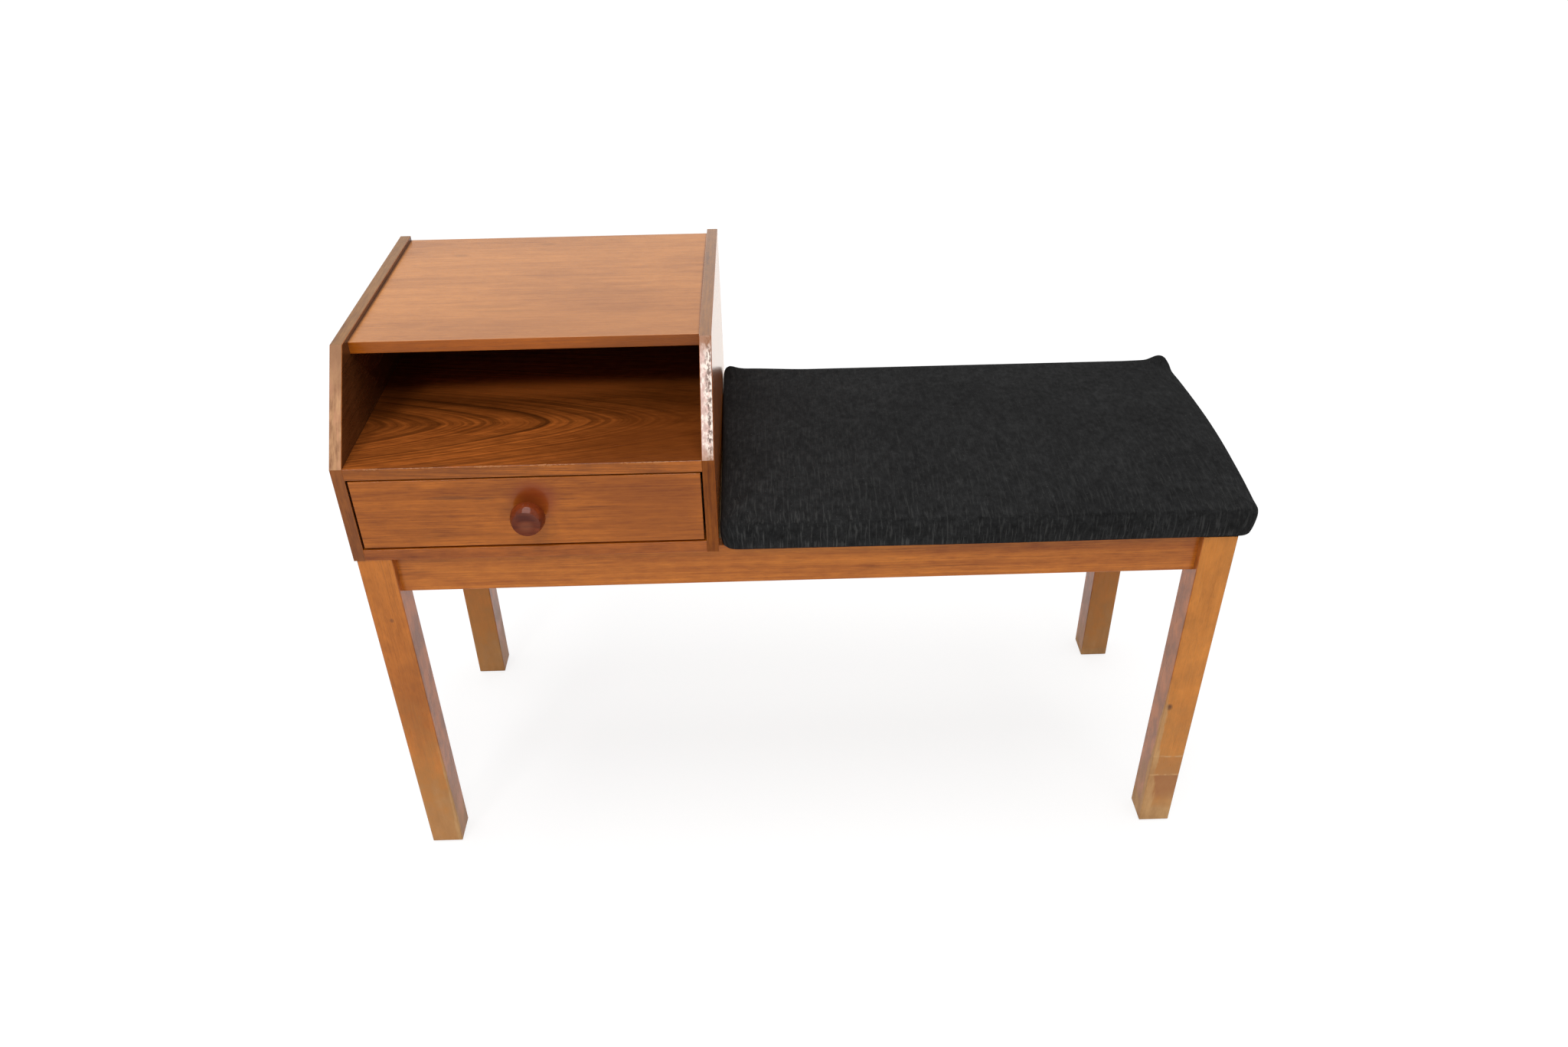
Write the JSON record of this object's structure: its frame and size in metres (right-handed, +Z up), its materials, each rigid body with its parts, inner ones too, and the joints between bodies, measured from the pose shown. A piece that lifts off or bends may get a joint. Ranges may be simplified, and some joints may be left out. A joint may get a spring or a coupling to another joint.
{
  "type": "telephone bench",
  "caption": "Telephone bench: padded seat on a leg frame, with a small cabinet at the left end that holds an open shelf over a sliding drawer.",
  "frame": {"origin": "on the floor, under the middle of the whole bench's box, knob and seat overhang included", "axes": "+X along the bench from the cabinet to the seat's free end, +Y from front to back, +Z up"},
  "size_m": [0.903, 0.377, 0.6165],
  "materials": {
    "cabinet_veneer": "lacquered reddish brown veneer, satin to glossy",
    "frame_wood": "lacquered lighter brown solid wood, worn pale at the feet",
    "inner_wood": "bare planed softwood",
    "drawer_wood": "bare planed hardwood",
    "thin_panel": "hard-pressed fibre panel",
    "plywood": "bare plywood",
    "foam": "open-cell foam",
    "wool_cover": "charcoal woven wool with pale flecks",
    "knob_wood": "dark red-brown stained wood, glossy lacquer",
    "steel": "zinc-plated steel"
  },
  "bodies": {
    "bench": {"leg_front_left": "frame_wood", "leg_front_right": "frame_wood", "leg_rear_left": "frame_wood", "leg_rear_right": "frame_wood", "rail_front": "frame_wood", "rail_rear": "frame_wood", "rail_left": "frame_wood", "rail_right": "frame_wood", "middle_bearer": "inner_wood", "corner_block_front_left": "inner_wood", "corner_block_front_right": "inner_wood", "corner_block_rear_left": "inner_wood", "corner_block_rear_right": "inner_wood", "cabinet_side_left": "cabinet_veneer", "cabinet_side_right": "cabinet_veneer", "cabinet_top": "cabinet_veneer", "cabinet_shelf": "cabinet_veneer", "cabinet_bottom": "cabinet_veneer", "cabinet_back": "thin_panel", "cabinet_dowels": "inner_wood", "cabinet_screws": "steel", "back_panel_nails": "steel", "drawer_stop_left": "inner_wood", "drawer_stop_right": "inner_wood", "seat_board": "plywood", "seat_foam": "foam", "seat_cover": "wool_cover", "seat_screws": "steel"},
    "drawer": {"drawer_front": "cabinet_veneer", "drawer_side_left": "drawer_wood", "drawer_side_right": "drawer_wood", "drawer_back": "drawer_wood", "drawer_bottom": "thin_panel", "drawer_bottom_nails": "steel", "drawer_knob": "knob_wood", "drawer_knob_screw": "steel"}
  },
  "joints": [
    {"name": "drawer_slide", "type": "slide", "parent": "bench", "child": "drawer", "axis": [0, -1, 0], "range_m": [0, 0.25]}
  ]
}
